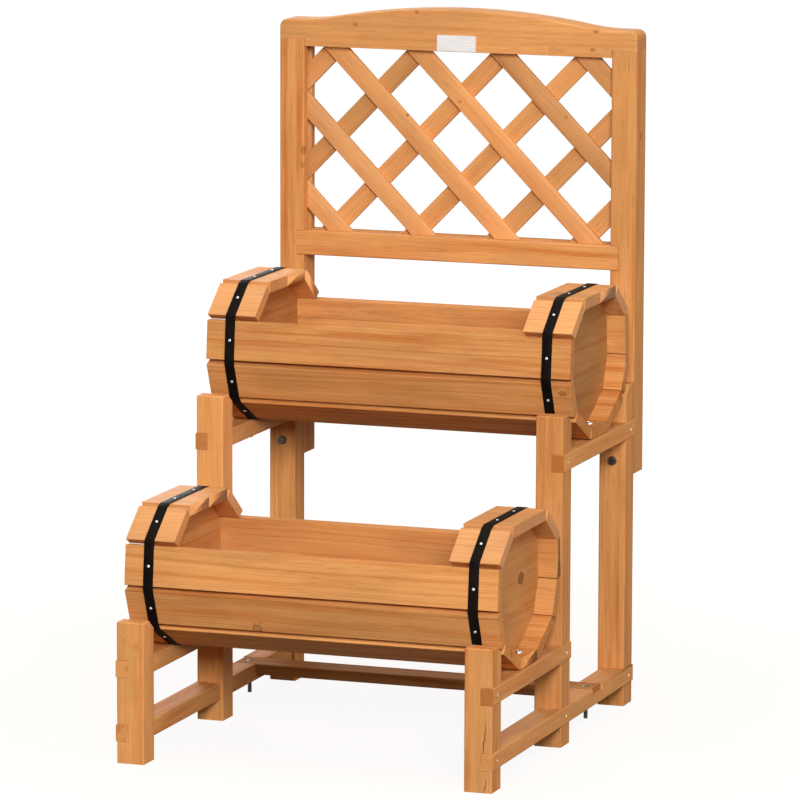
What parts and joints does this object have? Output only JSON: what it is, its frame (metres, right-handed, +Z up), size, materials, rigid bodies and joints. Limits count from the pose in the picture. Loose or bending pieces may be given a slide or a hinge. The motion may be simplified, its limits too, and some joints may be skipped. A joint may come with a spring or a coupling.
{
  "type": "wooden barrel planter",
  "caption": "Stepped wooden planter: horizontal stave barrels on a post-and-rail stand, with an arched lattice trellis at the back.",
  "frame": {"origin": "middle of the footprint's box, on the floor", "axes": "+X to the right as seen from the front, +Y to the rear, where the trellis stands, +Z up"},
  "size_m": [0.5238, 0.6586, 0.9475],
  "materials": {
    "stand_fir": "honey-orange stain, satin",
    "stave_fir": "honey-orange stain, satin",
    "panel_fir": "honey-orange stain, satin",
    "trellis_fir": "honey-orange stain, satin",
    "slat_fir": "honey-orange stain, satin",
    "black_strap_steel": "black satin paint",
    "zinc_steel": "zinc plated",
    "plate_aluminium": "bare, satin"
  },
  "bodies": {
    "root": {"barrel_bolts": "zinc_steel", "blank_plate": "plate_aluminium", "cross_stretcher": "stand_fir", "frame_screws": "zinc_steel", "front_post_left": "stand_fir", "front_post_right": "stand_fir", "lattice_front_slats": "slat_fir", "lattice_rear_slats": "slat_fir", "lower_barrel_bottom_stave": "stave_fir", "lower_barrel_end_panel_left": "panel_fir", "lower_barrel_end_panel_right": "panel_fir", "lower_barrel_front_lower_stave": "stave_fir", "lower_barrel_front_middle_stave": "stave_fir", "lower_barrel_front_shoulder_left": "stave_fir", "lower_barrel_front_shoulder_right": "stave_fir", "lower_barrel_front_upper_stave": "stave_fir", "lower_barrel_rear_lower_stave": "stave_fir", "lower_barrel_rear_middle_stave": "stave_fir", "lower_barrel_rear_shoulder_left": "stave_fir", "lower_barrel_rear_shoulder_right": "stave_fir", "lower_barrel_rear_upper_stave": "stave_fir", "lower_barrel_strap_left": "black_strap_steel", "lower_barrel_strap_nails": "zinc_steel", "lower_barrel_strap_right": "black_strap_steel", "lower_barrel_top_left": "stave_fir", "lower_barrel_top_right": "stave_fir", "lower_rail_left": "stand_fir", "lower_rail_right": "stand_fir", "lower_tier_rail_left": "stand_fir", "lower_tier_rail_right": "stand_fir", "mid_post_left": "stand_fir", "mid_post_right": "stand_fir", "rear_post_left": "stand_fir", "rear_post_right": "stand_fir", "stretcher_bolts": "zinc_steel", "trellis_bolts": "zinc_steel", "trellis_bottom_rail": "trellis_fir", "trellis_post_left": "trellis_fir", "trellis_post_right": "trellis_fir", "trellis_top_rail": "trellis_fir", "upper_barrel_bottom_stave": "stave_fir", "upper_barrel_end_panel_left": "panel_fir", "upper_barrel_end_panel_right": "panel_fir", "upper_barrel_front_lower_stave": "stave_fir", "upper_barrel_front_middle_stave": "stave_fir", "upper_barrel_front_shoulder_left": "stave_fir", "upper_barrel_front_shoulder_right": "stave_fir", "upper_barrel_front_upper_stave": "stave_fir", "upper_barrel_rear_lower_stave": "stave_fir", "upper_barrel_rear_middle_stave": "stave_fir", "upper_barrel_rear_shoulder_left": "stave_fir", "upper_barrel_rear_shoulder_right": "stave_fir", "upper_barrel_rear_upper_stave": "stave_fir", "upper_barrel_strap_left": "black_strap_steel", "upper_barrel_strap_nails": "zinc_steel", "upper_barrel_strap_right": "black_strap_steel", "upper_barrel_top_left": "stave_fir", "upper_barrel_top_right": "stave_fir", "upper_tier_rail_left": "stand_fir", "upper_tier_rail_right": "stand_fir"}
  },
  "joints": []
}
